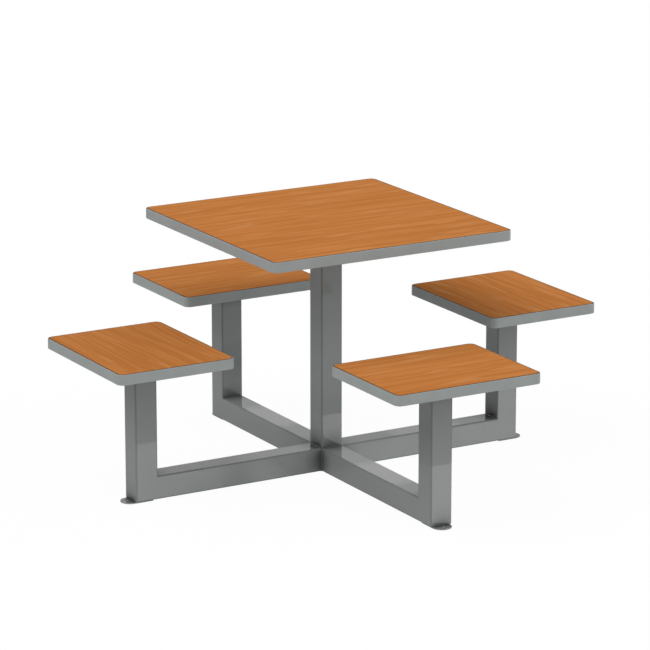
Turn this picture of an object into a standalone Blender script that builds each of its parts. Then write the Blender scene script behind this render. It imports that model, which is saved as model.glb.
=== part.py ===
"""Square table with four attached stools on a cross-shaped frame of square steel tube.

Units are metres, +Z is up, and the origin is on the floor under the middle of the table.
Each stool arm is modelled along +X and turned into place by its parent empty.
"""

import math

import bmesh
import bpy

# Overall sizes
TABLE_WIDTH = 0.762
TABLE_HEIGHT = 0.7345
SEAT_LENGTH = 0.4572
SEAT_DEPTH = 0.3556
SEAT_HEIGHT = 0.439
SEAT_REACH = 0.593

# Board tops: laminate, core and backer inside a moulded edge band
BOARD_THICKNESS = 0.030
CORNER_RADIUS = 0.019
LAMINATE_THICKNESS = 0.0012
BACKER_THICKNESS = 0.0008
BAND_THICKNESS = 0.002
BAND_EDGE_RADIUS = 0.0015
TONGUE_DEPTH = 0.009
TONGUE_THICKNESS = 0.003

# Frame: one square tube section throughout, on flat foot plates
TUBE_SIZE = 0.068
TUBE_CORNER_RADIUS = 0.0045
TUBE_WALL = 0.003
FOOT_THICKNESS = 0.0035
FOOT_WIDTH = 0.056
FOOT_SETBACK = 0.0125
LUG_REACH = 0.0303
ANCHOR_HOLE_DIAMETER = 0.010
ANCHOR_HOLE_INSET = 0.017

# Mounting plates and their screws
TABLE_PLATE_WIDTH = 0.305
SEAT_PLATE_WIDTH = 0.203
PLATE_THICKNESS = 0.006
PLATE_CORNER_RADIUS = 0.010
SCREW_INSET = 0.020
SCREW_DIAMETER = 0.006
SCREW_LENGTH = 0.024
SCREW_TIP_LENGTH = 0.006
SCREW_TIP_DIAMETER = 0.0006
SCREW_FLANGE_DIAMETER = 0.013
SCREW_FLANGE_THICKNESS = 0.0014
SCREW_HEAD_FLATS = 0.0085
SCREW_HEAD_HEIGHT = 0.0042

# Clearances
GAP = 0.0003
LEAST_RADIUS = 0.0005
CUTTER_MARGIN = 0.002

# Facets
BOARD_CORNER_STEPS = 6
BAND_EDGE_STEPS = 3
TUBE_CORNER_STEPS = 4
PLATE_CORNER_STEPS = 4
FOOT_ROUND_STEPS = 16
SCREW_SIDES = 12
HEX_SIDES = 6
ANCHOR_HOLE_SIDES = 20
SMOOTH_ANGLE = math.radians(35)

# Heights and half sizes that follow from the sizes above
FRAME_BASE = FOOT_THICKNESS + GAP
HALF_TUBE = TUBE_SIZE / 2
PLATE_TOP_DROP = BOARD_THICKNESS + GAP
PLATE_BOTTOM_DROP = PLATE_TOP_DROP + PLATE_THICKNESS
POST_TOP_DROP = PLATE_BOTTOM_DROP + GAP
SCREW_HEAD_DROP = PLATE_BOTTOM_DROP + GAP
MITRE_OFFSET = GAP / math.sqrt(2)

SIDE_ANGLES = {"right": 0, "back": 90, "left": 180, "front": 270}

FINISHES = {
    "laminate": ((193, 124, 66), 0.38, 0.0),
    "edge_band": ((140, 144, 142), 0.45, 0.0),
    "board_core": ((176, 142, 100), 0.85, 0.0),
    "backer": ((96, 84, 72), 0.7, 0.0),
    "frame_paint": ((124, 127, 126), 0.3, 0.2),
    "screw_steel": ((190, 190, 186), 0.35, 1.0),
}


def clear_scene():
    for obj in list(bpy.data.objects):
        bpy.data.objects.remove(obj, do_unlink=True)


def linear(channel):
    """A colour channel of 0 to 255 as the linear value that a shader takes."""
    share = channel / 255
    return share / 12.92 if share <= 0.04045 else ((share + 0.055) / 1.055) ** 2.4


def make_materials():
    made = {}
    for name, (colour, roughness, metallic) in FINISHES.items():
        material = bpy.data.materials.new(name)
        material.use_nodes = True
        shader = material.node_tree.nodes["Principled BSDF"]
        shader.inputs["Base Color"].default_value = (*map(linear, colour), 1)
        shader.inputs["Roughness"].default_value = roughness
        shader.inputs["Metallic"].default_value = metallic
        made[name] = material
    return made


def rounded_rectangle(half_x, half_y, radius, steps):
    """Points anticlockwise round a rectangle whose corners are arcs."""
    points = []
    for quarter, (sign_x, sign_y) in enumerate(((1, 1), (-1, 1), (-1, -1), (1, -1))):
        centre_x = sign_x * (half_x - radius)
        centre_y = sign_y * (half_y - radius)
        for step in range(steps + 1):
            angle = math.pi / 2 * (quarter + step / steps)
            points.append((centre_x + radius * math.cos(angle), centre_y + radius * math.sin(angle)))
    return points


def circle(radius, sides):
    angles = [2 * math.pi * side / sides for side in range(sides)]
    return [(radius * math.cos(angle), radius * math.sin(angle)) for angle in angles]


def hexagon(flats, sides):
    """Points round a hexagon, with those between the corners on its flats."""
    wedge = 2 * math.pi / HEX_SIDES
    points = []
    for side in range(sides):
        angle = 2 * math.pi * side / sides
        radius = flats / 2 / math.cos((angle + wedge / 2) % wedge - wedge / 2)
        points.append((radius * math.cos(angle), radius * math.sin(angle)))
    return points


def at_height(points, z):
    return [(x, y, z) for x, y in points]


def loft(name, loops, ring=False):
    """A mesh through loops of equal length: capped at both ends, or closed on itself as a ring."""
    bm = bmesh.new()
    rows = [[bm.verts.new(point) for point in loop] for loop in loops]
    pairs = list(zip(rows, rows[1:]))
    if ring:
        pairs.append((rows[-1], rows[0]))
    else:
        bm.faces.new(rows[0])
        bm.faces.new(rows[-1])
    for low, high in pairs:
        for i in range(len(low)):
            j = (i + 1) % len(low)
            bm.faces.new((low[i], low[j], high[j], high[i]))
    bmesh.ops.recalc_face_normals(bm, faces=bm.faces)
    mesh = bpy.data.meshes.new(name)
    bm.to_mesh(mesh)
    bm.free()
    mesh.shade_smooth()
    mesh.set_sharp_from_angle(angle=SMOOTH_ANGLE)
    return mesh


def place(mesh, material, parent, location=(0, 0, 0)):
    obj = bpy.data.objects.new(mesh.name, mesh)
    bpy.context.scene.collection.objects.link(obj)
    if material:
        mesh.materials.append(material)
    obj.parent = parent
    obj.location = location
    return obj


def make_empty(name, angle):
    empty = bpy.data.objects.new(name, None)
    bpy.context.scene.collection.objects.link(empty)
    empty.rotation_euler.z = math.radians(angle)
    return empty


def make_cutter(mesh, parent, location):
    cutter = place(mesh, None, parent, location)
    cutter.hide_render = True
    cutter.display_type = "WIRE"
    return cutter


def drill(obj, cutter):
    cut = obj.modifiers.new("holes", "BOOLEAN")
    cut.operation = "DIFFERENCE"
    cut.solver = "EXACT"
    cut.object = cutter


class Board:
    """A table or seat top, centred on its own origin with its upper face at z = 0."""

    def __init__(self, name, size_x, size_y, plate_width, parent, location):
        self.name = name
        self.seam_x = size_x / 2 - BAND_THICKNESS
        self.seam_y = size_y / 2 - BAND_THICKNESS
        self.plate_half = plate_width / 2
        self.parent = parent
        self.location = location

    def outline(self, outward, z):
        """The seam between band and board, moved outward and set at a height."""
        radius = max(CORNER_RADIUS - BAND_THICKNESS + outward, LEAST_RADIUS)
        half_x = self.seam_x + outward
        half_y = self.seam_y + outward
        return at_height(rounded_rectangle(half_x, half_y, radius, BOARD_CORNER_STEPS), z)

    def add(self, suffix, loops, material, ring=False):
        mesh = loft(f"{self.name}_{suffix}", loops, ring)
        return place(mesh, material, self.parent, self.location)

    def screw_points(self):
        reach = self.plate_half - SCREW_INSET
        return [(x, y) for x in (-reach, reach) for y in (-reach, reach)]

    def edge_band(self, material):
        middle = -BOARD_THICKNESS / 2
        half_tongue = TONGUE_THICKNESS / 2
        inner = BAND_THICKNESS - BAND_EDGE_RADIUS
        profile = [(0, -BOARD_THICKNESS)]
        for turn, height in ((-1, BAND_EDGE_RADIUS - BOARD_THICKNESS), (0, -BAND_EDGE_RADIUS)):
            for step in range(BAND_EDGE_STEPS + 1):
                angle = math.pi / 2 * (turn + step / BAND_EDGE_STEPS)
                outward = inner + BAND_EDGE_RADIUS * math.cos(angle)
                profile.append((outward, height + BAND_EDGE_RADIUS * math.sin(angle)))
        profile.append((0, 0))
        profile.append((0, middle + half_tongue))
        profile.append((-TONGUE_DEPTH, middle + half_tongue))
        profile.append((-TONGUE_DEPTH, middle - half_tongue))
        profile.append((0, middle - half_tongue))
        self.add("edge_band", [self.outline(*point) for point in profile], material, ring=True)

    def core(self, material):
        """The board between the two sheets, grooved all round for the band's tongue."""
        middle = -BOARD_THICKNESS / 2
        half_groove = TONGUE_THICKNESS / 2 + GAP
        groove = -TONGUE_DEPTH - GAP
        profile = [
            (-GAP, BACKER_THICKNESS + GAP - BOARD_THICKNESS),
            (-GAP, middle - half_groove),
            (groove, middle - half_groove),
            (groove, middle + half_groove),
            (-GAP, middle + half_groove),
            (-GAP, -LAMINATE_THICKNESS - GAP),
        ]
        return self.add("core", [self.outline(*point) for point in profile], material)

    def sheet(self, suffix, low, high, material):
        return self.add(suffix, [self.outline(-GAP, low), self.outline(-GAP, high)], material)

    def mounting_plate(self, material):
        corners = rounded_rectangle(
            self.plate_half, self.plate_half, PLATE_CORNER_RADIUS, PLATE_CORNER_STEPS
        )
        loops = [at_height(corners, -PLATE_BOTTOM_DROP), at_height(corners, -PLATE_TOP_DROP)]
        return self.add("mounting_plate", loops, material)

    def screws(self, material):
        for number, (x, y) in enumerate(self.screw_points(), start=1):
            mesh = loft(f"{self.name}_screw_{number}", screw_loops())
            origin_x, origin_y, origin_z = self.location
            place(mesh, material, self.parent, (origin_x + x, origin_y + y, origin_z - SCREW_HEAD_DROP))

    def screw_hole(self, number, x, y):
        bore = circle(SCREW_DIAMETER / 2 + GAP, SCREW_SIDES)
        low = -PLATE_BOTTOM_DROP - CUTTER_MARGIN
        high = SCREW_LENGTH + GAP - SCREW_HEAD_DROP
        mesh = loft(f"{self.name}_screw_hole_{number}", [at_height(bore, low), at_height(bore, high)])
        origin_x, origin_y, origin_z = self.location
        return make_cutter(mesh, self.parent, (origin_x + x, origin_y + y, origin_z))

    def build(self, materials):
        self.edge_band(materials["edge_band"])
        self.sheet("laminate", -LAMINATE_THICKNESS, 0, materials["laminate"])
        backer_top = BACKER_THICKNESS - BOARD_THICKNESS
        drilled = [
            self.core(materials["board_core"]),
            self.sheet("backer", -BOARD_THICKNESS, backer_top, materials["backer"]),
            self.mounting_plate(materials["frame_paint"]),
        ]
        for number, (x, y) in enumerate(self.screw_points(), start=1):
            cutter = self.screw_hole(number, x, y)
            for obj in drilled:
                drill(obj, cutter)
        self.screws(materials["screw_steel"])


def screw_loops():
    """A flanged hexagon-head screw pointing up, with the bearing face of its head at z = 0."""
    tip = circle(SCREW_TIP_DIAMETER / 2, SCREW_SIDES)
    shank = circle(SCREW_DIAMETER / 2, SCREW_SIDES)
    flange = circle(SCREW_FLANGE_DIAMETER / 2, SCREW_SIDES)
    head = hexagon(SCREW_HEAD_FLATS, SCREW_SIDES)
    return [
        at_height(tip, SCREW_LENGTH),
        at_height(shank, SCREW_LENGTH - SCREW_TIP_LENGTH),
        at_height(shank, 0),
        at_height(flange, 0),
        at_height(flange, -SCREW_FLANGE_THICKNESS),
        at_height(head, -SCREW_FLANGE_THICKNESS),
        at_height(head, -SCREW_FLANGE_THICKNESS - SCREW_HEAD_HEIGHT),
    ]


def tube_sections():
    """Outer and inner outlines of the square tube."""
    bore_radius = max(TUBE_CORNER_RADIUS - TUBE_WALL, LEAST_RADIUS)
    half_bore = HALF_TUBE - TUBE_WALL
    outer = rounded_rectangle(HALF_TUBE, HALF_TUBE, TUBE_CORNER_RADIUS, TUBE_CORNER_STEPS)
    inner = rounded_rectangle(half_bore, half_bore, bore_radius, TUBE_CORNER_STEPS)
    return outer, inner


def tube(name, start, end):
    """A tube whose two ends are given by functions from a section point to a point in space."""
    outer, inner = tube_sections()
    loops = [
        [start(*point) for point in outer],
        [end(*point) for point in outer],
        [end(*point) for point in inner],
        [start(*point) for point in inner],
    ]
    return loft(name, loops, ring=True)


def build_centre_post(materials, parent):
    """The table's post, which runs down between the four arms."""
    top = TABLE_HEIGHT - POST_TOP_DROP - FRAME_BASE
    mesh = tube("centre_post", lambda x, y: (x, y, 0), lambda x, y: (x, y, top))
    place(mesh, materials["frame_paint"], parent, (0, 0, FRAME_BASE))


def build_arm(side, materials, parent):
    """The floor arm: square against the centre post, mitred where it meets the seat post."""
    length = SEAT_REACH - HALF_TUBE - GAP
    mesh = tube(
        f"{side}_arm",
        lambda y, z: (0, y, z),
        lambda y, z: (length - z - MITRE_OFFSET, y, z),
    )
    location = (HALF_TUBE + GAP, 0, FRAME_BASE + HALF_TUBE)
    place(mesh, materials["frame_paint"], parent, location)


def build_seat_post(side, materials, parent):
    """The upright under a seat, mitred at its foot."""
    top = SEAT_HEIGHT - POST_TOP_DROP - FRAME_BASE
    mesh = tube(
        f"{side}_seat_post",
        lambda x, y: (x, y, HALF_TUBE - x + MITRE_OFFSET),
        lambda x, y: (x, y, top),
    )
    place(mesh, materials["frame_paint"], parent, (SEAT_REACH, 0, FRAME_BASE))


def build_foot_plate(side, materials, parent):
    """A flat plate under the seat post, with a half-round lug drilled for a floor anchor."""
    half_width = FOOT_WIDTH / 2
    inner_end = FOOT_SETBACK - HALF_TUBE
    lug_end = HALF_TUBE + LUG_REACH
    round_centre = lug_end - half_width
    outline = [(inner_end, half_width), (inner_end, -half_width)]
    for step in range(FOOT_ROUND_STEPS + 1):
        angle = math.pi * (step / FOOT_ROUND_STEPS - 0.5)
        outline.append((round_centre + half_width * math.cos(angle), half_width * math.sin(angle)))
    loops = [at_height(outline, 0), at_height(outline, FOOT_THICKNESS)]
    plate = place(
        loft(f"{side}_foot_plate", loops), materials["frame_paint"], parent, (SEAT_REACH, 0, 0)
    )
    bore = circle(ANCHOR_HOLE_DIAMETER / 2, ANCHOR_HOLE_SIDES)
    hole = [at_height(bore, -CUTTER_MARGIN), at_height(bore, FOOT_THICKNESS + CUTTER_MARGIN)]
    hole_x = SEAT_REACH + lug_end - ANCHOR_HOLE_INSET
    drill(plate, make_cutter(loft(f"{side}_anchor_hole", hole), parent, (hole_x, 0, 0)))


def build_stool(side, angle, materials):
    parent = make_empty(f"{side}_side", angle)
    build_arm(side, materials, parent)
    build_seat_post(side, materials, parent)
    build_foot_plate(side, materials, parent)
    location = (SEAT_REACH, 0, SEAT_HEIGHT)
    Board(f"{side}_seat", SEAT_DEPTH, SEAT_LENGTH, SEAT_PLATE_WIDTH, parent, location).build(materials)


def build_table(materials):
    parent = make_empty("table", 0)
    build_centre_post(materials, parent)
    location = (0, 0, TABLE_HEIGHT)
    Board("table", TABLE_WIDTH, TABLE_WIDTH, TABLE_PLATE_WIDTH, parent, location).build(materials)


def main():
    clear_scene()
    materials = make_materials()
    build_table(materials)
    for side, angle in SIDE_ANGLES.items():
        build_stool(side, angle, materials)


main()
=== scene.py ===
"""Looks of a square table with four attached stools on a welded frame.

Units are metres, +Z is up, and the origin is on the floor under the middle of the table.
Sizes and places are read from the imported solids. A stool is modelled on the +X side and turned
into place. Each finished piece stands for the solid that it is named after, the weld beads are
added to the frame, and the cores and backers keep their solids and get new materials.
"""

import math

import bmesh
import bpy
from mathutils import Matrix, Vector


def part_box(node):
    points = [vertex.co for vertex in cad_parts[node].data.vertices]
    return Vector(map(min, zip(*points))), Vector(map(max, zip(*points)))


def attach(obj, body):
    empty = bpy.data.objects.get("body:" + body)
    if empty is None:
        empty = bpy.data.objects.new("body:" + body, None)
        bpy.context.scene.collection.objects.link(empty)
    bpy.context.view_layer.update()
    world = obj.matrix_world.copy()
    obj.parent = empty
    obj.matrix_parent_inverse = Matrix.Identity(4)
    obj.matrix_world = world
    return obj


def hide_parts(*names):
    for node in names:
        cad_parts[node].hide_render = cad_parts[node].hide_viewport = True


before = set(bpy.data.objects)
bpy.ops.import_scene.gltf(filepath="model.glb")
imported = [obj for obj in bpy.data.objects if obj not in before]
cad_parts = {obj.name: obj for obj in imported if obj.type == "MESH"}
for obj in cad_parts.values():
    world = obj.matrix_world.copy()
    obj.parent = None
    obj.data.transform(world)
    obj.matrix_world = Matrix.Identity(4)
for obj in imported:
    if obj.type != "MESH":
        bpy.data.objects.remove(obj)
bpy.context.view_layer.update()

# Camera, fitted to the edges of the object in the photograph
IMAGE_SIDE = 650
FOCAL_PIXELS = 3614.0
SENSOR_WIDTH = 36.0
CAMERA_AZIMUTH = math.radians(-30.0)
CAMERA_ELEVATION = math.radians(15.02)
CAMERA_PLACE = Vector((-4.9557, -8.5777, 3.0818))
CAMERA_REACH = 200.0

# Sides of the table and how far each is turned from +X. The table's own turn puts its seam on +X.
SIDE_TURNS = {"right": 0, "back": math.pi / 2, "left": math.pi, "front": 3 * math.pi / 2}
TABLE_TURN = math.pi

# Boards: the band lies a little under the laminate's face
BOARD_CORNER_RADIUS = 0.019
BOARD_CORNER_STEPS = 18
LEAST_CORNER_RADIUS = 0.0005
BAND_THICKNESS = 0.002
BAND_EDGE_RADIUS = 0.0015
BAND_EDGE_STEPS = 7
BAND_DROP = 0.0005
BAND_SEAM_HALF_WIDTH = 0.0002
BAND_SEAM_DEPTH = 0.0005
TONGUE_DEPTH = 0.009
TONGUE_THICKNESS = 0.003
LAMINATE_BEVEL = 0.0004
LAMINATE_DARK_EDGE = 0.0022
SCREWS_PER_BOARD = 4

# Layers of a board that keep their solids, and their slots
PLAIN_LAYERS = {"core": "board_core", "backer": "backer"}

# Frame
TUBE_CORNER_RADIUS = 0.0045
TUBE_CORNER_STEPS = 8
TUBE_WALL = 0.003
PLATE_CORNER_RADIUS = 0.010
PLATE_CORNER_STEPS = 10
PLATE_BEVEL = 0.0006
PLATE_BEVEL_STEPS = 3
FOOT_ROUND_STEPS = 48
ANCHOR_HOLE_RADIUS = 0.005
ANCHOR_HOLE_INSET = 0.017
ANCHOR_HOLE_SIDES = 40

# Weld beads: their painted shades are shares of the painted shade that a tube's edge has
WELD_LEG = 0.0022
WELD_BULGE = 0.72
WELD_RIPPLE = 0.06
WELD_RIPPLE_PITCH = 0.0022
WELD_STEPS_PER_RIPPLE = 6
WELD_STEP = WELD_RIPPLE_PITCH / WELD_STEPS_PER_RIPPLE
WELD_FACE_STEPS = 5
WELD_SINK = 0.0004
WELD_TAPER = 0.003
WELD_END_SIZE = 0.4
WELD_SHADE = 2.0
FOOT_WELD_SHADE = 0.0

# Screws
SCREW_SIDES = 36
SCREW_HEX_FLATS = 0.0085
SCREW_HEAD_HEIGHT = 0.0042
SCREW_HEAD_CHAMFER = 0.0006
SCREW_FLANGE_THICKNESS = 0.0014
SCREW_FLANGE_ROUND = 0.0005
SCREW_SHANK_RADIUS = 0.003
SCREW_ROOT_RADIUS = 0.0022
SCREW_TIP_LENGTH = 0.006
SCREW_TIP_RADIUS = 0.0003
SCREW_PITCH = 0.0018
SCREW_ROWS_PER_PITCH = 8
SCREW_CREST_POWER = 3
HEX_SIDES = 6

# Shading
SHARP_ANGLE = math.radians(32)
NORMAL_WEIGHT = 100
# A vertex layer that marks painted shade on the frame, and the dark strip round a laminate
EDGE_LAYER = "edge"
GRAIN_LAYER = "grain"

# Materials: the range in which most values of a noise lie, a whole range, and the same falling.
# A noise's scale is its features per metre. A relief is a depth in metres and a strength.
NOISE_MIDDLE = (0.3, 0.7)
WHOLE = (0.0, 1.0)
FALLING = (1.0, 0.0)

# Laminate: features along and across the grain, and what they add to its tone
GRAIN_DRIFT = (1.4, 4.0)
GRAIN_SWAY = 0.045
GRAIN_BANDS = (0.5, 42)
GRAIN_STREAKS = (2.4, 92)
GRAIN_FLECKS = (5.5, 36)
GRAIN_LINES = (7, 520)
GRAIN_PORES = (75, 1700)
BANDS_IN_TONE = 0.6
LINES_IN_TONE = 0.3
FLECK_VALUES = (0.56, 0.72)
FLECK_STRENGTH = (0.0, 0.7)
PORE_VALUES = (0.60, 0.72)
PORE_STRENGTH = (0.0, 0.25)
LAMINATE_ROUGHNESS = (0.5, 0.6)
LAMINATE_SPECULAR = 0.004
LAMINATE_RELIEF = (0.00003, 0.35)

# How far the grain is shifted from one board to the next
GRAIN_SHIFT = Vector((0.83, 0.47))

# Edge band
BAND_CLOUD_SCALE = 14
BAND_PEBBLE_SCALE = 1900
BAND_ROUGHNESS = (0.40, 0.5)
BAND_SPECULAR = 0.3
BAND_RELIEF = (0.00005, 0.4)

# Core and backer
CHIP_SCALE = (240, 420, 700)
CORE_ROUGHNESS = (0.78, 0.92)
CORE_RELIEF = (0.0002, 0.6)
FIBRE_SCALE = 160
FIBRE_ROUGHNESS = 0.65
SANDING_SCALE = (6, 900, 1)
SANDING_IN_TONE = 0.3
BACKER_ROUGHNESS = (0.62, 0.74)
BACKER_RELIEF = (0.00006, 0.5)

# Paint, and how far the painted shade over the tubes' rounded edges takes on its colour
PAINT_CLOUD_SCALE = 7
PAINT_PEEL_SCALE = 330
PAINT_ROUGHNESS = 0.5
PAINT_RELIEF = (0.00004, 0.05)
COAT_WEIGHT = 0.6
COAT_IOR = 1.8
COAT_ROUGHNESS = (0.03, 0.04)
EDGE_SHADE = 0.38

# Painted shade in inside corners, from ambient occlusion: how far from an inside corner it reaches,
# how deep it is and the heights where it starts
CORNER_SHADE_REACH = 0.06
CORNER_SHADE_DEPTH = 1.55
CORNER_SHADE_START = (0.0026, 0.0034)

# Scuffs on the tops of the arms: how level a face is and the distances from the middle between which
# they begin and end, then what they add to the coat's roughness and to the sheen
SCUFF_FACING = (0.6, 0.95)
SCUFF_START = (0.19, 0.26)
SCUFF_END = (0.38, 0.46)
SCUFF_ROUGHNESS = 0.36
SCUFF_SHEEN = 0.9

# Screw steel
ZINC_CLOUD_SCALE = 300
ZINC_MARK_SCALE = 2600
ZINC_ROUGHNESS = (0.26, 0.4)
ZINC_RELIEF = (0.00003, 0.3)

# Floor: the shares that glow for the object and for the camera, and how mirror rays see it
WHITE = (1, 1, 1, 1)
FLOOR_HALF_SIZE = 60.0
FLOOR_DROP = 0.0005
FLOOR_COLOUR = (0.9, 0.9, 0.9, 1)
FLOOR_GLOW_SHARE = 0.7
FLOOR_WHITE_SHARE = 0.965
FLOOR_GLOW = 0.78
MIRROR_COLOUR = (0.42, 0.42, 0.42, 1)
MIRROR_REACH = (0.592, 0.602)
MIRROR_SHEEN = (0.76, 0.03)
MIRROR_SHEEN_ROUGHNESS = 0.3

# Soft lights of the studio: azimuth from +X and elevation in degrees, and the brightness of a white
# face turned to the light
LIGHTS = ((180, 55, 0.745), (270, 55, 0.23), (0, 20, 0.30), (315, 20, 0.36))
LIGHT_FOCUS = 10.0

# Mirror rays of less than this depth see the background as white
WHITE_MIRROR_DEPTH = 1.5


def linear(red, green, blue):
    """A colour of 0 to 255 as the linear colour that a shader takes."""
    shares = [channel / 255 for channel in (red, green, blue)]
    return (*[s / 12.92 if s <= 0.04045 else ((s + 0.055) / 1.055) ** 2.4 for s in shares], 1)


# Colours, alone or as stops along a tone
WOOD_TONES = (
    (0.65, linear(194, 126, 67)),
    (0.95, linear(187, 119, 62)),
    (1.0, linear(180, 112, 56)),
)
WOOD_FLECK = linear(195, 134, 79)
WOOD_PORE = linear(140, 80, 38)
# A dark strip round the laminate's edge
LAMINATE_EDGE_STRIP = linear(44, 26, 14)
BAND_GREYS = ((0.3, linear(145, 150, 149)), (0.7, linear(151, 156, 155)))
CHIP_TONES = (
    (0.1, linear(148, 112, 74)),
    (0.5, linear(178, 142, 100)),
    (0.9, linear(206, 174, 130)),
)
BACKER_BROWNS = ((0.4, linear(84, 72, 60)), (0.9, linear(108, 95, 82)))
PAINT_GREYS = ((0.3, linear(132, 136, 135)), (0.7, linear(136, 140, 139)))
# The colour of the painted shade over rounded edges and weld beads
EDGE_SHADE_COLOUR = linear(76, 79, 79)
# The colour of the painted shade in inside corners
CORNER_SHADE_COLOUR = linear(22, 23, 23)
ZINC_GREYS = ((0.3, linear(178, 180, 178)), (0.7, linear(204, 204, 198)))

# Sockets of a Mix node that are used for colours
MIX_SHARE = 0
MIX_FIRST = 6
MIX_SECOND = 7
MIX_RESULT = 2


class Nodes:
    """The node tree of a material or a world, with short calls for its nodes."""

    def __init__(self, owner):
        owner.use_nodes = True
        self.tree = owner.node_tree

    def add(self, kind, **settings):
        node = self.tree.nodes.new(f"ShaderNode{kind}")
        for name, value in settings.items():
            setattr(node, name, value)
        return node

    def feed(self, socket, value):
        """Links a socket to an output, or sets its constant."""
        if isinstance(value, bpy.types.NodeSocket):
            self.tree.links.new(value, socket)
        else:
            socket.default_value = value

    def feed_named(self, node, **values):
        """Feeds sockets by name, with _ for a space."""
        for name, value in values.items():
            self.feed(node.inputs[name.replace("_", " ")], value)
        return node

    def feed_in_order(self, node, *values):
        for socket, value in zip(node.inputs, values):
            self.feed(socket, value)
        return node

    def math(self, operation, *values):
        return self.feed_in_order(self.add("Math", operation=operation), *values).outputs[0]

    def vector_math(self, operation, *values):
        return self.feed_in_order(self.add("VectorMath", operation=operation), *values).outputs

    def height_of(self, vector):
        return self.feed_named(self.add("SeparateXYZ"), Vector=vector).outputs["Z"]

    def remap(self, value, old, new, curve="SMOOTHSTEP"):
        """A value carried from one range to another and kept inside it."""
        node = self.add("MapRange", interpolation_type=curve)
        self.feed_named(node, Value=value, From_Min=old[0], From_Max=old[1])
        self.feed_named(node, To_Min=new[0], To_Max=new[1])
        return node.outputs["Result"]

    def shader(self, kind, **values):
        return self.feed_named(self.add(kind), **values).outputs[0]

    def mix_shaders(self, share, first, second):
        return self.feed_in_order(self.add("MixShader"), share, first, second).outputs[0]

    def seen(self, path):
        """Whether a ray comes from the camera, straight or through something clear."""
        return self.math("MAXIMUM", path["Is Camera Ray"], path["Is Transmission Ray"])


class Surface(Nodes):
    """A new material with a Principled surface."""

    def __init__(self, name):
        self.material = bpy.data.materials.new(name)
        super().__init__(self.material)
        self.principled = self.tree.nodes["Principled BSDF"]

    def set(self, **values):
        self.feed_named(self.principled, **values)

    def object_place(self):
        return self.add("TexCoord").outputs["Object"]

    def layer(self, name):
        return self.add("Attribute", attribute_name=name).outputs["Fac"]

    def stretch(self, vector, scale):
        return self.feed_named(self.add("Mapping"), Vector=vector, Scale=scale).outputs["Vector"]

    def noise(self, vector, scale=1.0, detail=2.0, roughness=0.5):
        node = self.feed_named(self.add("TexNoise"), Vector=vector, Scale=scale)
        return self.feed_named(node, Detail=detail, Roughness=roughness).outputs["Fac"]

    def cells(self, vector):
        """A random grey for each cell of a chip pattern, one cell to a unit."""
        colour = self.feed_named(self.add("TexVoronoi"), Vector=vector, Scale=1.0).outputs["Color"]
        return self.feed_in_order(self.add("RGBToBW"), colour).outputs[0]

    def blend(self, share, first, second):
        node = self.add("Mix", data_type="RGBA")
        self.feed(node.inputs[MIX_SHARE], share)
        self.feed(node.inputs[MIX_FIRST], first)
        self.feed(node.inputs[MIX_SECOND], second)
        return node.outputs[MIX_RESULT]

    def ramp(self, value, stops):
        """Colours along a value, each stop a place and a colour."""
        node = self.add("ValToRGB")
        points = node.color_ramp.elements
        while len(points) < len(stops):
            points.new(0.5)
        for point, (place, colour) in zip(points, stops):
            point.position = place
            point.color = colour
        return self.feed_named(node, Fac=value).outputs["Color"]

    def bump(self, height, relief):
        depth, strength = relief
        node = self.feed_named(self.add("Bump"), Height=height, Distance=depth, Strength=strength)
        return node.outputs["Normal"]


def make_laminate():
    """Wood-grain sheet: bands, streaks, flecks, lines and pores along the grain, and a dark edge."""
    surface = Surface("laminate")
    grain = surface.add("UVMap", uv_map=GRAIN_LAYER).outputs["UV"]
    drift = surface.noise(surface.stretch(grain, (*GRAIN_DRIFT, 1)), detail=1.0)
    shift = surface.math("MULTIPLY", drift, GRAIN_SWAY)
    sway = surface.feed_named(surface.add("CombineXYZ"), Y=shift).outputs["Vector"]
    bent = surface.vector_math("ADD", grain, sway)["Vector"]

    def along_grain(features, detail):
        return surface.noise(surface.stretch(bent, (*features, 1)), detail=detail)

    bands = along_grain(GRAIN_BANDS, detail=1.0)
    streaks = along_grain(GRAIN_STREAKS, detail=3.0)
    flecks = along_grain(GRAIN_FLECKS, detail=1.0)
    lines = along_grain(GRAIN_LINES, detail=2.0)
    pores = along_grain(GRAIN_PORES, detail=1.0)

    tone = surface.math("ADD", streaks, surface.math("MULTIPLY", bands, BANDS_IN_TONE))
    tone = surface.math("ADD", tone, surface.math("MULTIPLY", lines, LINES_IN_TONE))
    wood = surface.ramp(tone, WOOD_TONES)
    wood = surface.blend(surface.remap(flecks, FLECK_VALUES, FLECK_STRENGTH), wood, WOOD_FLECK)
    wood = surface.blend(surface.remap(pores, PORE_VALUES, PORE_STRENGTH), wood, WOOD_PORE)
    surface.set(
        Base_Color=surface.blend(surface.layer(EDGE_LAYER), wood, LAMINATE_EDGE_STRIP),
        Roughness=surface.remap(streaks, NOISE_MIDDLE, LAMINATE_ROUGHNESS),
        Specular_IOR_Level=LAMINATE_SPECULAR,
        Normal=surface.bump(surface.math("ADD", lines, pores), LAMINATE_RELIEF),
    )
    return surface.material


def make_edge_band():
    """Grey moulded vinyl with a fine pebble and slow tone changes."""
    surface = Surface("edge_band")
    place = surface.object_place()
    cloud = surface.noise(place, BAND_CLOUD_SCALE, detail=3.0)
    pebble = surface.noise(place, BAND_PEBBLE_SCALE, detail=1.0)
    surface.set(
        Base_Color=surface.ramp(cloud, BAND_GREYS),
        Roughness=surface.remap(pebble, NOISE_MIDDLE, BAND_ROUGHNESS),
        Specular_IOR_Level=BAND_SPECULAR,
        Normal=surface.bump(pebble, BAND_RELIEF),
    )
    return surface.material


def make_board_core():
    """Pressed wood chips."""
    surface = Surface("board_core")
    chips = surface.cells(surface.stretch(surface.object_place(), CHIP_SCALE))
    surface.set(
        Base_Color=surface.ramp(chips, CHIP_TONES),
        Roughness=surface.remap(chips, WHOLE, CORE_ROUGHNESS),
        Normal=surface.bump(chips, CORE_RELIEF),
    )
    return surface.material


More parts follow.
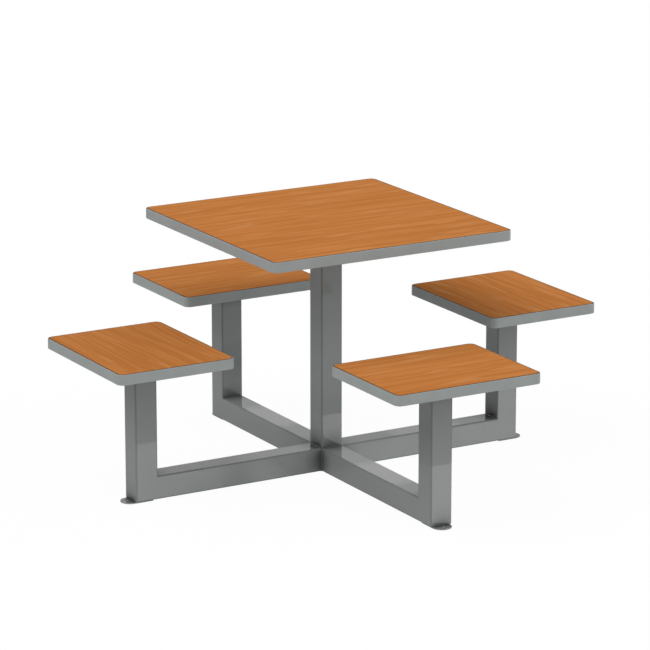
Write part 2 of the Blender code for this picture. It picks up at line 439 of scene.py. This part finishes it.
def make_backer():
    """Brown resin-soaked paper under the board, with faint sanding lines."""
    surface = Surface("backer")
    place = surface.object_place()
    fibres = surface.noise(place, FIBRE_SCALE, detail=4.0, roughness=FIBRE_ROUGHNESS)
    sanding = surface.noise(surface.stretch(place, SANDING_SCALE), detail=1.0)
    tone = surface.math("ADD", fibres, surface.math("MULTIPLY", sanding, SANDING_IN_TONE))
    surface.set(
        Base_Color=surface.ramp(tone, BACKER_BROWNS),
        Roughness=surface.remap(fibres, NOISE_MIDDLE, BACKER_ROUGHNESS),
        Normal=surface.bump(tone, BACKER_RELIEF),
    )
    return surface.material


def make_frame_paint():
    """Glossy grey paint with painted shade over edges and in inside corners, scuffed on top of the
    arms.
    """
    surface = Surface("frame_paint")
    place = surface.object_place()
    cloud = surface.noise(place, PAINT_CLOUD_SCALE, detail=3.0)
    # Painted shade over the tubes' rounded edges and the weld beads
    edge = surface.math("MULTIPLY", surface.layer(EDGE_LAYER), EDGE_SHADE)
    paint = surface.blend(edge, surface.ramp(cloud, PAINT_GREYS), EDGE_SHADE_COLOUR)

    # Painted shade: the colour darkens where ambient occlusion finds near walls, above the foot
    # plates' sides
    corner = surface.feed_named(surface.add("AmbientOcclusion"), Distance=CORNER_SHADE_REACH)
    corner_shade = surface.math("SUBTRACT", 1.0, corner.outputs["AO"])
    corner_shade = surface.math("MINIMUM", surface.math("MULTIPLY", corner_shade, CORNER_SHADE_DEPTH), 1.0)
    above_start = surface.remap(surface.height_of(place), CORNER_SHADE_START, WHOLE)
    corner_shade = surface.math("MULTIPLY", corner_shade, above_start)

    normal = surface.add("NewGeometry").outputs["Normal"]
    scuff = surface.remap(surface.height_of(normal), SCUFF_FACING, WHOLE)
    reach = surface.vector_math("LENGTH", surface.stretch(place, (1, 1, 0)))["Value"]
    scuff = surface.math("MULTIPLY", scuff, surface.remap(reach, SCUFF_START, WHOLE))
    scuff = surface.math("MULTIPLY", scuff, surface.remap(reach, SCUFF_END, FALLING))
    gloss = surface.remap(cloud, NOISE_MIDDLE, COAT_ROUGHNESS)

    peel = surface.bump(surface.noise(place, PAINT_PEEL_SCALE, detail=2.0), PAINT_RELIEF)
    surface.set(
        Base_Color=surface.blend(corner_shade, paint, CORNER_SHADE_COLOUR),
        Roughness=PAINT_ROUGHNESS,
        Specular_IOR_Level=0.0,
        Normal=peel,
        Coat_Weight=COAT_WEIGHT,
        Coat_IOR=COAT_IOR,
        Coat_Roughness=surface.math("MULTIPLY_ADD", scuff, SCUFF_ROUGHNESS, gloss),
        Coat_Normal=peel,
        Sheen_Weight=surface.math("MULTIPLY", scuff, SCUFF_SHEEN),
    )
    return surface.material


def make_screw_steel():
    """Zinc-plated steel with a fine grain."""
    surface = Surface("screw_steel")
    place = surface.object_place()
    cloud = surface.noise(place, ZINC_CLOUD_SCALE, detail=3.0)
    surface.set(
        Base_Color=surface.ramp(cloud, ZINC_GREYS),
        Roughness=surface.remap(cloud, NOISE_MIDDLE, ZINC_ROUGHNESS),
        Metallic=1.0,
        Normal=surface.bump(surface.noise(place, ZINC_MARK_SCALE, detail=1.0), ZINC_RELIEF),
    )
    return surface.material


MATERIALS = {
    "laminate": make_laminate(),
    "edge_band": make_edge_band(),
    "board_core": make_board_core(),
    "backer": make_backer(),
    "frame_paint": make_frame_paint(),
    "screw_steel": make_screw_steel(),
}


def box_on_side(node, turn):
    """A solid's lowest and highest corners, seen from a side that is turned about the middle."""
    back = Matrix.Rotation(-turn, 3, "Z")
    corners = [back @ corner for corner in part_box(node)]
    return Vector(map(min, *corners)), Vector(map(max, *corners))


def rounded_rectangle(half_x, half_y, radius, steps):
    """Points anticlockwise round a rectangle whose corners are arcs."""
    points = []
    for quarter, (sign_x, sign_y) in enumerate(((1, 1), (-1, 1), (-1, -1), (1, -1))):
        centre = Vector((sign_x * (half_x - radius), sign_y * (half_y - radius)))
        for step in range(steps + 1):
            angle = math.pi / 2 * (quarter + step / steps)
            points.append(centre + radius * Vector((math.cos(angle), math.sin(angle))))
    return points


def tube_section(half, radius=TUBE_CORNER_RADIUS):
    return rounded_rectangle(half, half, radius, TUBE_CORNER_STEPS)


def around(radius_at, sides):
    """Points round a curve whose distance from its middle is a function of the angle."""
    points = []
    for side in range(sides):
        angle = 2 * math.pi * side / sides
        radius = radius_at(angle)
        points.append((radius * math.cos(angle), radius * math.sin(angle)))
    return points


def circle(radius, sides):
    return around(lambda angle: radius, sides)


def at_height(points, z, middle=(0, 0)):
    return [(x + middle[0], y + middle[1], z) for x, y in points]


def rounded_edges(low, high, radius, steps):
    """Insets and heights up the side of a slab whose two edges are rounded."""
    profile = []
    for turn, height in ((-1, low + radius), (0, high - radius)):
        for step in range(steps + 1):
            angle = math.pi / 2 * (turn + step / steps)
            profile.append((radius * (1 - math.cos(angle)), height + radius * math.sin(angle)))
    return profile


def skin(bm, loops, ring=False):
    """Quads through loops of equal length, open at both ends or closed on itself as a ring."""
    rows = [[bm.verts.new(point) for point in loop] for loop in loops]
    pairs = list(zip(rows, rows[1:]))
    if ring:
        pairs.append((rows[-1], rows[0]))
    for low, high in pairs:
        for i in range(len(low)):
            bm.faces.new((low[i - 1], low[i], high[i], high[i - 1]))
    return rows


def loft(bm, loops):
    """A skin with a cap on each end."""
    rows = skin(bm, loops)
    bm.faces.new(rows[0])
    bm.faces.new(rows[-1])
    return rows


def shade_rows(rows, layer, shade):
    for row in rows:
        for vert in row:
            vert[layer] = shade


def add_piece(name, bm, slot, turn, nodes=()):
    """Makes a finished piece from a mesh, turned to its side, in place of the solids given."""
    bmesh.ops.recalc_face_normals(bm, faces=bm.faces)
    mesh = bpy.data.meshes.new(name)
    bm.to_mesh(mesh)
    bm.free()
    mesh.materials.append(MATERIALS[slot])
    mesh.shade_smooth()
    mesh.set_sharp_from_angle(angle=SHARP_ANGLE)
    piece = bpy.data.objects.new(name, mesh)
    bpy.context.scene.collection.objects.link(piece)
    piece.rotation_euler.z = turn
    normals = piece.modifiers.new("even_normals", "WEIGHTED_NORMAL")
    normals.mode = "FACE_AREA"
    normals.weight = NORMAL_WEIGHT
    normals.keep_sharp = True
    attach(piece, "root")
    if nodes:
        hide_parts(*nodes)


def screw_loops(low, high):
    """A flanged hexagon-head screw pointing up, threaded from its head to its tip."""
    middle = ((low + high) / 2).xy
    flange = (high.x - low.x) / 2
    flange_low = low.z + SCREW_HEAD_HEIGHT
    bearing = flange_low + SCREW_FLANGE_THICKNESS

    def ring(radius_at, z):
        return at_height(around(radius_at, SCREW_SIDES), z, middle)

    def round_ring(radius, z):
        return at_height(circle(radius, SCREW_SIDES), z, middle)

    def hexagon(angle):
        wedge = 2 * math.pi / HEX_SIDES
        return SCREW_HEX_FLATS / 2 / math.cos((angle + wedge / 2) % wedge - wedge / 2)

    def chamfered(angle):
        return min(hexagon(angle), SCREW_HEX_FLATS / 2)

    loops = [
        ring(lambda angle: chamfered(angle) - SCREW_HEAD_CHAMFER, low.z),
        ring(chamfered, low.z),
        ring(hexagon, low.z + SCREW_HEAD_CHAMFER),
        ring(hexagon, flange_low),
        round_ring(flange - SCREW_FLANGE_ROUND, flange_low),
        round_ring(flange, flange_low + SCREW_FLANGE_ROUND),
        round_ring(flange, bearing),
        round_ring(SCREW_SHANK_RADIUS, bearing),
    ]
    length = high.z - bearing
    rows = round(length / SCREW_PITCH * SCREW_ROWS_PER_PITCH)
    for row in range(1, rows):
        z = length * row / rows
        taper = min(1, (length - z) / SCREW_TIP_LENGTH)

        def thread(angle, z=z, taper=taper):
            phase = (z / SCREW_PITCH - angle / (2 * math.pi)) % 1
            crest = abs(2 * phase - 1) ** SCREW_CREST_POWER
            return taper * (SCREW_ROOT_RADIUS + (SCREW_SHANK_RADIUS - SCREW_ROOT_RADIUS) * crest)

        loops.append(ring(thread, bearing + z))
    loops.append(round_ring(SCREW_TIP_RADIUS, high.z))
    return loops


def ring_path(middle, half, z):
    """A bead's path round the top of a square tube: corner point, outward direction and down."""
    path = []
    outline = tube_section(half)
    flat = half - TUBE_CORNER_RADIUS
    for start, end in zip(outline, outline[1:] + outline[:1]):
        pieces = max(1, round((end - start).length / WELD_STEP))
        for piece in range(pieces):
            x, y = start.lerp(end, piece / pieces)
            flat_x = max(-flat, min(flat, x))
            flat_y = max(-flat, min(flat, y))
            outward = Vector((x - flat_x, y - flat_y, 0)).normalized()
            path.append((Vector((x + middle[0], y + middle[1], z)), outward, Vector((0, 0, -1))))
    return path


def straight_path(start, end, first, second):
    """A bead's path along an inside corner: corner point and the directions of its two faces."""
    start, end = Vector(start), Vector(end)
    count = round((end - start).length / WELD_RIPPLE_PITCH * WELD_STEPS_PER_RIPPLE)
    return [(start.lerp(end, i / count), Vector(first), Vector(second)) for i in range(count + 1)]


def weld_bead(path, shade=WELD_SHADE, closed=False):
    """A convex rippled bead in an inside corner, sunk a little into both faces."""
    loops = []
    for number, (corner, first, second) in enumerate(path):
        to_end = min(number, len(path) - 1 - number) * WELD_STEP
        size = 1 if closed else min(1, WELD_END_SIZE + (1 - WELD_END_SIZE) * to_end / WELD_TAPER)
        leg = WELD_LEG * size
        bulge = WELD_BULGE + WELD_RIPPLE * math.cos(2 * math.pi * number / WELD_STEPS_PER_RIPPLE)
        loop = [corner - WELD_SINK * (first + second)]
        for face_step in range(WELD_FACE_STEPS + 1):
            t = face_step / WELD_FACE_STEPS
            share_first = (1 - t) ** 2 + 2 * t * (1 - t) * bulge
            share_second = t**2 + 2 * t * (1 - t) * bulge
            point = corner + leg * (share_first * first + share_second * second)
            if face_step == 0:
                point -= WELD_SINK * second
            if face_step == WELD_FACE_STEPS:
                point -= WELD_SINK * first
            loop.append(point)
        loops.append(loop)
    bm = bmesh.new()
    edge = bm.verts.layers.float.new(EDGE_LAYER)
    rows = skin(bm, loops, ring=True) if closed else loft(bm, loops)
    # The bead's painted shade
    shade_rows(rows, edge, shade)
    return bm


def tube(start, end, half):
    """A square tube whose two ends are functions from a section point to a point in space."""
    outer = tube_section(half)
    inner = tube_section(half - TUBE_WALL, TUBE_CORNER_RADIUS - TUBE_WALL)
    bm = bmesh.new()
    edge = bm.verts.layers.float.new(EDGE_LAYER)
    loops = [
        [start(*point) for point in outer],
        [end(*point) for point in outer],
        [end(*point) for point in inner],
        [start(*point) for point in inner],
    ]
    # The tube's rounded corners are marked for painted shade
    for row in skin(bm, loops, ring=True)[:2]:
        for number, vert in enumerate(row):
            vert[edge] = 1 if 0 < number % (TUBE_CORNER_STEPS + 1) < TUBE_CORNER_STEPS else 0
    return bm


class Board:
    """The finished table top or a finished seat, read from its solids."""

    def __init__(self, name, turn, grain_along_x, number):
        self.name = name
        self.turn = turn
        self.grain_along_x = grain_along_x
        self.number = number
        self.low, self.high = box_on_side(f"{name}_edge_band", turn)
        self.middle = (self.low + self.high) / 2
        self.half = (self.high - self.low) / 2
        self.plate_low, self.plate_high = box_on_side(f"{name}_mounting_plate", turn)

    def add(self, part, bm, slot):
        node = f"{self.name}_{part}"
        add_piece(f"{node}_finished", bm, slot, self.turn, [node])

    def outline(self, inset, z, seam_depth=None):
        """The outline moved in and set at a height, with the band's seam on the -X side if asked."""
        half_x = self.half.x - inset
        half_y = self.half.y - inset
        radius = max(BOARD_CORNER_RADIUS - inset, LEAST_CORNER_RADIUS)
        points = rounded_rectangle(half_x, half_y, radius, BOARD_CORNER_STEPS)
        if seam_depth is not None:
            seam = [
                Vector((-half_x, BAND_SEAM_HALF_WIDTH)),
                Vector((-half_x + seam_depth, 0)),
                Vector((-half_x, -BAND_SEAM_HALF_WIDTH)),
            ]
            after_second_corner = 2 * (BOARD_CORNER_STEPS + 1)
            points[after_second_corner:after_second_corner] = seam
        return at_height(points, z, self.middle.xy)

    def edge_band(self):
        """Moulded band just under the laminate's face, with rounded edges, a tongue and a seam."""
        seat = BAND_THICKNESS
        top = self.high.z - BAND_DROP
        tongue_low = self.middle.z - TONGUE_THICKNESS / 2
        tongue_high = self.middle.z + TONGUE_THICKNESS / 2
        profile = [(seat, self.low.z, 0)]
        for inset, z in rounded_edges(self.low.z, top, BAND_EDGE_RADIUS, BAND_EDGE_STEPS):
            profile.append((inset, z, BAND_SEAM_DEPTH))
        profile.append((seat, top, 0))
        profile.append((seat, tongue_high, 0))
        profile.append((seat + TONGUE_DEPTH, tongue_high, 0))
        profile.append((seat + TONGUE_DEPTH, tongue_low, 0))
        profile.append((seat, tongue_low, 0))
        bm = bmesh.new()
        skin(bm, [self.outline(*point) for point in profile], ring=True)
        self.add("edge_band", bm, "edge_band")

    def laminate(self):
        """The top sheet, with a dark strip round its edge, and with its grain along X or Y."""
        low, high = box_on_side(f"{self.name}_laminate", self.turn)
        inset = self.high.x - high.x
        bm = bmesh.new()
        edge = bm.verts.layers.float.new(EDGE_LAYER)
        rows = loft(
            bm,
            [
                self.outline(inset, low.z),
                self.outline(inset, high.z - LAMINATE_BEVEL),
                self.outline(inset + LAMINATE_BEVEL, high.z),
                self.outline(inset + LAMINATE_DARK_EDGE, high.z),
                self.outline(inset + LAMINATE_DARK_EDGE + LAMINATE_BEVEL, high.z),
            ],
        )
        # A dark strip round the sheet's edge
        shade_rows(rows[:-1], edge, 1)
        grain = bm.loops.layers.uv.new(GRAIN_LAYER)
        for face in bm.faces:
            for loop in face.loops:
                x, y = loop.vert.co.xy - self.middle.xy
                along = Vector((x, y) if self.grain_along_x else (y, x))
                loop[grain].uv = along + self.number * GRAIN_SHIFT
        self.add("laminate", bm, "laminate")

    def mounting_plate(self):
        """The plate under the board, with its edges broken."""
        half = (self.plate_high.x - self.plate_low.x) / 2
        low, high = self.plate_low.z, self.plate_high.z
        loops = []
        for inset, z in rounded_edges(low, high, PLATE_BEVEL, PLATE_BEVEL_STEPS):
            side = half - inset
            corners = rounded_rectangle(side, side, PLATE_CORNER_RADIUS - inset, PLATE_CORNER_STEPS)
            loops.append(at_height(corners, z, self.middle.xy))
        bm = bmesh.new()
        loft(bm, loops)
        self.add("mounting_plate", bm, "frame_paint")

    def plate_weld(self, post_half):
        """The bead that runs round the post's top, under the mounting plate."""
        bm = weld_bead(ring_path(self.middle.xy, post_half, self.plate_low.z), closed=True)
        add_piece(f"{self.name}_plate_weld", bm, "frame_paint", self.turn)

    def screws(self):
        for number in range(1, SCREWS_PER_BOARD + 1):
            part = f"screw_{number}"
            bm = bmesh.new()
            loft(bm, screw_loops(*box_on_side(f"{self.name}_{part}", self.turn)))
            self.add(part, bm, "screw_steel")

    def build(self, post_half):
        self.edge_band()
        self.laminate()
        self.mounting_plate()
        self.plate_weld(post_half)
        self.screws()
        for layer, slot in PLAIN_LAYERS.items():
            for material_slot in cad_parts[f"{self.name}_{layer}"].material_slots:
                material_slot.material = MATERIALS[slot]


class Stool:
    """The frame under one seat, modelled along +X and turned to its side."""

    def __init__(self, side, turn, centre_half):
        self.side = side
        self.turn = turn
        self.centre_half = centre_half
        self.arm_low, self.arm_high = box_on_side(f"{side}_arm", turn)
        self.post_low, self.post_high = box_on_side(f"{side}_seat_post", turn)
        self.foot_low, self.foot_high = box_on_side(f"{side}_foot_plate", turn)
        self.foot_half = (self.foot_high.y - self.foot_low.y) / 2
        self.half = (self.post_high.x - self.post_low.x) / 2
        self.reach = (self.post_low.x + self.post_high.x) / 2
        self.arm_middle = self.arm_low.z + self.half

    def add(self, part, bm):
        node = f"{self.side}_{part}"
        add_piece(f"{node}_finished", bm, "frame_paint", self.turn, [node])

    def arm(self):
        """Square against the centre post and mitred under the seat post."""
        bm = tube(
            lambda y, z: (self.centre_half, y, self.arm_middle + z),
            lambda y, z: (self.reach - z, y, self.arm_middle + z),
            self.half,
        )
        self.add("arm", bm)

    def seat_post(self):
        """Mitred on the arm and square under the mounting plate."""
        bm = tube(
            lambda x, y: (self.reach + x, y, self.arm_middle - x),
            lambda x, y: (self.reach + x, y, self.post_high.z),
            self.half,
        )
        self.add("seat_post", bm)

    def foot_plate(self):
        """Flat plate with a half-round lug, drilled for a floor anchor, with all edges broken."""
        round_centre = self.foot_high.x - self.foot_half
        hole = Vector((self.foot_high.x - ANCHOR_HOLE_INSET, 0))
        low, high = self.foot_low.z, self.foot_high.z
        outer_loops = []
        hole_loops = []
        for inset, z in rounded_edges(low, high, PLATE_BEVEL, PLATE_BEVEL_STEPS):
            radius = self.foot_half - inset
            outline = [(self.foot_low.x + inset, radius), (self.foot_low.x + inset, -radius)]
            for step in range(FOOT_ROUND_STEPS + 1):
                angle = math.pi * (step / FOOT_ROUND_STEPS - 0.5)
                outline.append((round_centre + radius * math.cos(angle), radius * math.sin(angle)))
            outer_loops.append(at_height(outline, z))
            hole_edge = circle(ANCHOR_HOLE_RADIUS + inset, ANCHOR_HOLE_SIDES)
            hole_loops.append(at_height(hole_edge, z, hole))
        bm = bmesh.new()
        walls = [skin(bm, outer_loops), skin(bm, hole_loops)]
        for end in (0, -1):
            rims = [wall[end] for wall in walls]
            edges = [bm.edges.get((rim[i - 1], rim[i])) for rim in rims for i in range(len(rim))]
            bmesh.ops.triangle_fill(bm, edges=edges, use_beauty=True)
        self.add("foot_plate", bm)

    def weld(self, name, start, end, faces, shade=WELD_SHADE):
        """A bead from one point to another, between the directions of two faces."""
        bm = weld_bead(straight_path(start, end, *faces), shade)
        add_piece(f"{self.side}_{name}", bm, "frame_paint", self.turn)

    def welds(self):
        """Beads at the centre post, between two arms, in the inside corner and at the foot."""
        flat = self.half - TUBE_CORNER_RADIUS
        base = self.arm_low.z
        top = self.arm_high.z
        centre = self.centre_half
        inner_face = self.reach - self.half
        outer_flat = self.reach + flat
        out, back, aside, up, down = (1, 0, 0), (-1, 0, 0), (0, 1, 0), (0, 0, 1), (0, 0, -1)
        self.weld("centre_weld", (centre, -flat, top), (centre, flat, top), (out, up))
        cross_top = top - TUBE_CORNER_RADIUS
        self.weld("cross_weld", (centre, centre, base), (centre, centre, cross_top), (out, aside))
        self.weld("corner_weld", (inner_face, -flat, top), (inner_face, flat, top), (back, up))
        for number, sign in ((1, -1), (2, 1)):
            y = sign * self.foot_half
            start, end = (self.foot_low.x, y, base), (outer_flat, y, base)
            self.weld(f"foot_weld_{number}", start, end, ((0, sign, 0), down), FOOT_WELD_SHADE)

    def build(self):
        self.arm()
        self.seat_post()
        self.foot_plate()
        self.welds()


def build_centre_post():
    """Adds the centre post and gives half of its width."""
    low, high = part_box("centre_post")
    half = (high.x - low.x) / 2
    bm = tube(lambda x, y: (x, y, low.z), lambda x, y: (x, y, high.z), half)
    add_piece("centre_post_finished", bm, "frame_paint", 0, ["centre_post"])
    return half


def build_object():
    centre_half = build_centre_post()
    Board("table", TABLE_TURN, grain_along_x=True, number=0).build(centre_half)
    for number, (side, turn) in enumerate(SIDE_TURNS.items(), start=1):
        stool = Stool(side, turn, centre_half)
        stool.build()
        Board(f"{side}_seat", turn, grain_along_x=False, number=number).build(stool.half)


def add_camera():
    data = bpy.data.cameras.new("camera")
    data.sensor_width = SENSOR_WIDTH
    data.lens = FOCAL_PIXELS / IMAGE_SIDE * SENSOR_WIDTH
    data.clip_end = CAMERA_REACH
    camera = bpy.data.objects.new("camera", data)
    bpy.context.scene.collection.objects.link(camera)
    level = math.cos(CAMERA_ELEVATION)
    x = math.sin(CAMERA_AZIMUTH) * level
    y = -math.cos(CAMERA_AZIMUTH) * level
    back = Vector((x, y, math.sin(CAMERA_ELEVATION)))
    camera.location = CAMERA_PLACE
    camera.rotation_euler = (-back).to_track_quat("-Z", "Y").to_euler()
    bpy.context.scene.camera = camera


def make_floor():
    """White with a faint shadow to the camera, and dull to mirror rays that come from far off."""
    material = bpy.data.materials.new("floor")
    nodes = Nodes(material)
    nodes.tree.nodes.clear()
    path = nodes.add("LightPath").outputs
    seen = nodes.seen(path)
    glow = nodes.remap(seen, WHOLE, (FLOOR_GLOW, 1), "LINEAR")
    share = nodes.remap(seen, WHOLE, (FLOOR_GLOW_SHARE, FLOOR_WHITE_SHARE), "LINEAR")
    matt = nodes.shader("BsdfDiffuse", Color=FLOOR_COLOUR)
    plain = nodes.mix_shaders(share, matt, nodes.shader("Emission", Color=WHITE, Strength=glow))
    dull = nodes.shader("BsdfDiffuse", Color=MIRROR_COLOUR)
    shine = nodes.remap(path["Ray Length"], MIRROR_REACH, MIRROR_SHEEN, "LINEAR")
    sheen = nodes.shader("BsdfAnisotropic", Color=shine, Roughness=MIRROR_SHEEN_ROUGHNESS)
    mirrored = nodes.feed_in_order(nodes.add("AddShader"), dull, sheen).outputs[0]
    surface = nodes.mix_shaders(path["Is Glossy Ray"], plain, mirrored)
    nodes.feed_named(nodes.add("OutputMaterial"), Surface=surface)
    return material


def add_floor():
    """A plain floor, kept out of shadow rays so that the painted shade in the paint's corners
    doesn't see it as a wall.
    """
    size = FLOOR_HALF_SIZE
    corners = [(-size, -size), (size, -size), (size, size), (-size, size)]
    bm = bmesh.new()
    bm.faces.new([bm.verts.new(point) for point in at_height(corners, -FLOOR_DROP)])
    mesh = bpy.data.meshes.new("floor")
    bm.to_mesh(mesh)
    bm.free()
    mesh.materials.append(make_floor())
    floor = bpy.data.objects.new("floor", mesh)
    bpy.context.scene.collection.objects.link(floor)
    floor.visible_shadow = False


def add_world():
    """Soft studio lights above the horizon, seen as white by the camera and by first mirror rays."""
    world = bpy.data.worlds.new("studio")
    nodes = Nodes(world)
    nodes.tree.nodes.clear()
    direction = nodes.add("TexCoord").outputs["Generated"]
    strength = 0.0
    for azimuth, elevation, light in LIGHTS:
        turn = Matrix.Rotation(math.radians(azimuth), 3, "Z")
        turn = turn @ Matrix.Rotation(-math.radians(elevation), 3, "Y")
        toward = nodes.vector_math("DOT_PRODUCT", direction, turn @ Vector((1, 0, 0)))["Value"]
        lobe = nodes.math("POWER", nodes.math("MAXIMUM", toward, 0), LIGHT_FOCUS)
        peak = light * (LIGHT_FOCUS + 2) / 2
        strength = nodes.math("ADD", nodes.math("MULTIPLY", lobe, peak), strength)
    above = nodes.math("GREATER_THAN", nodes.height_of(direction), 0.0)
    strength = nodes.math("MULTIPLY", strength, above)
    sky = nodes.shader("Background", Color=WHITE, Strength=strength)
    white = nodes.shader("Background", Color=WHITE)
    path = nodes.add("LightPath").outputs
    first_mirror = nodes.math("LESS_THAN", path["Glossy Depth"], WHITE_MIRROR_DEPTH)
    mirror = nodes.math("MULTIPLY", path["Is Glossy Ray"], first_mirror)
    surface = nodes.mix_shaders(nodes.math("MAXIMUM", nodes.seen(path), mirror), sky, white)
    nodes.feed_named(nodes.add("OutputWorld"), Surface=surface)
    bpy.context.scene.world = world


build_object()
add_camera()
add_floor()
add_world()
bpy.context.scene.view_settings.view_transform = "Standard"
